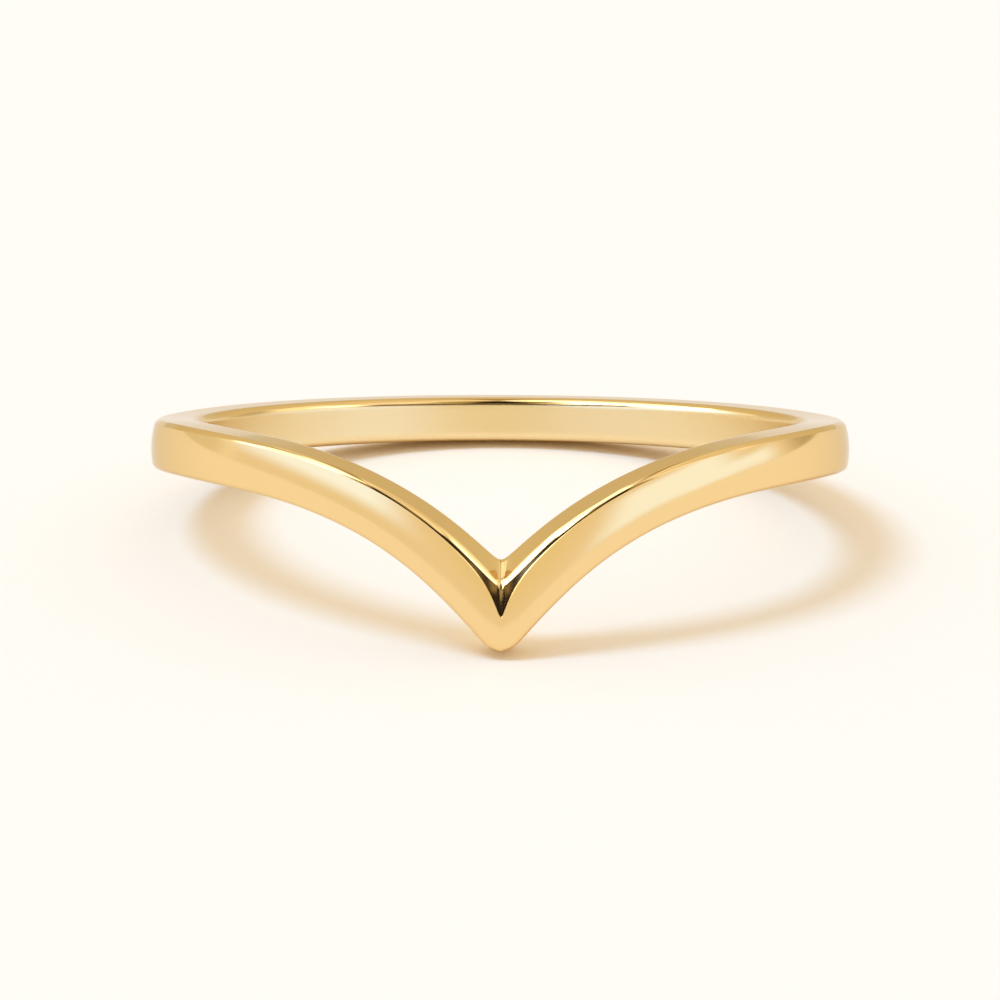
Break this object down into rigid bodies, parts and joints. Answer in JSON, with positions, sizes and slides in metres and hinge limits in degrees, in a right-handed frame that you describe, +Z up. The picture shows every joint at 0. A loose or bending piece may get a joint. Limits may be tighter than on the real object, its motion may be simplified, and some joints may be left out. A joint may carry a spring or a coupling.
{
  "type": "chevron band ring",
  "caption": "Slim polished yellow-gold finger ring whose plain band dips to a V-shaped point at the front, lying on its side.",
  "frame": {"origin": "middle of the underside of the bounding box, on the surface that the ring lies on", "axes": "+Z up from that surface, -Y towards the point of the chevron, +X to the right seen from the point"},
  "size_m": [0.02, 0.0206, 0.005],
  "materials": {
    "yellow_gold": "yellow gold, high polish"
  },
  "bodies": {
    "root": {"band": "yellow_gold"}
  },
  "joints": []
}
